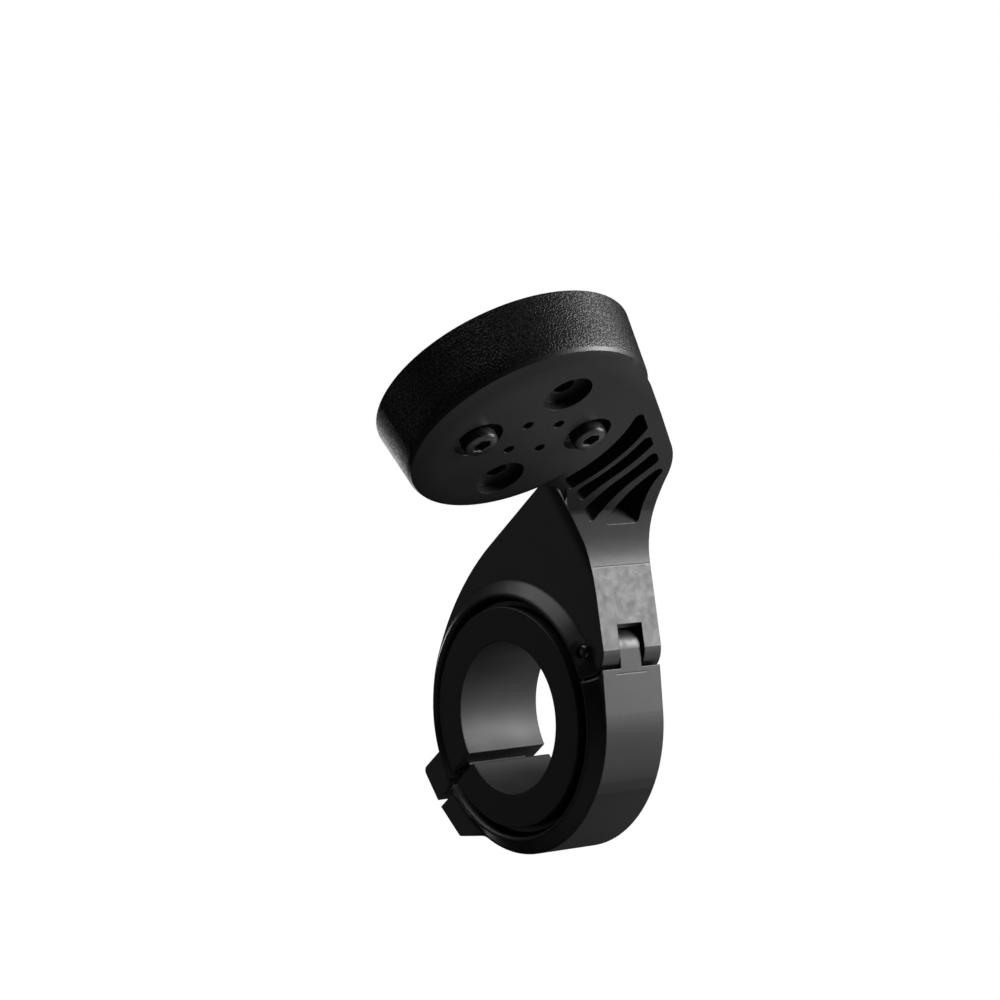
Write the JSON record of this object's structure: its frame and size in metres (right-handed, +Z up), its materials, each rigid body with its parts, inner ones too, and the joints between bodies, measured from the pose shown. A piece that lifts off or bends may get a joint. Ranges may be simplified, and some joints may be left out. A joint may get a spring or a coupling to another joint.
{
  "type": "bike computer mount",
  "caption": "Out-front bike computer mount: hinged handlebar clamp with reducing shim, cranked ribbed arm and round quarter-turn holder.",
  "frame": {"origin": "centre of the bar opening on the clamp's mid-plane", "axes": "+X along the bar towards the holder's side, +Y forward to the holder, +Z up along the holder's axis"},
  "size_m": [0.0602, 0.107, 0.0506],
  "materials": {
    "moulded_body": "fine-grained matte black moulding",
    "shim": "smooth matte black moulding",
    "insert": "satin black moulding",
    "pin_steel": "dark ground steel",
    "screw_steel": "black oxide on steel",
    "brass_inserts": "plain turned brass"
  },
  "bodies": {
    "arm": {"mount_arm": "moulded_body", "bar_shim": "shim", "hinge_pin": "pin_steel", "clamp_bolt": "screw_steel", "quarter_turn_insert": "insert", "insert_nut_right": "brass_inserts", "insert_nut_left": "brass_inserts", "insert_screw_right": "screw_steel", "insert_screw_left": "screw_steel"},
    "lower": {"lower_clamp": "moulded_body", "clamp_nut": "screw_steel"}
  },
  "joints": [
    {"name": "clamp_hinge", "type": "hinge", "parent": "arm", "child": "lower", "pos_m": [0, 0.02196, -0.00172], "axis": [1, 0, 0], "range_deg": [0, 55]}
  ]
}
